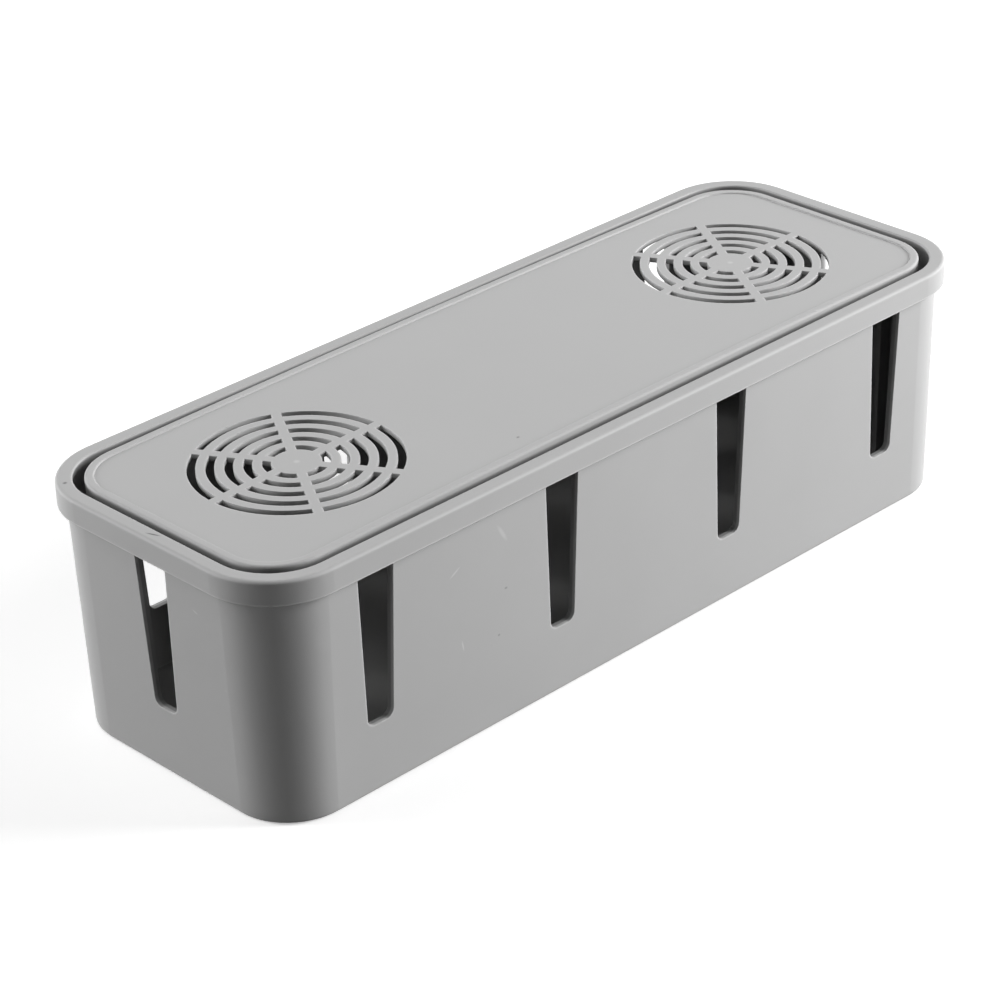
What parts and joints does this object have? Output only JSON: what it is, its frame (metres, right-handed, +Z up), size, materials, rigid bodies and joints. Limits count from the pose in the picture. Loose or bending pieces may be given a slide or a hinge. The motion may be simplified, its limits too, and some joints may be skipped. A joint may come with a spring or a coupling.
{
  "type": "cable management box",
  "caption": "Long moulded box with a turned-over rim, tapered cable slots in its walls and a lift-off lid with round ring vents, hides a power strip and its cables.",
  "frame": {"origin": "middle of the underside, on the surface that the box stands on", "axes": "+X along the length, +Y across the width from the pictured long side to the other, +Z up"},
  "size_m": [0.32, 0.114, 0.0873],
  "materials": {
    "box_plastic": "grey polypropylene, moulded, satin",
    "lid_plastic": "grey polypropylene, moulded, satin"
  },
  "bodies": {
    "box": {"box": "box_plastic"},
    "lid": {"lid": "lid_plastic"}
  },
  "joints": [
    {"name": "lid_lift", "type": "slide", "parent": "box", "child": "lid", "axis": [0, 0, 1], "range_m": [0, 0.08]}
  ]
}
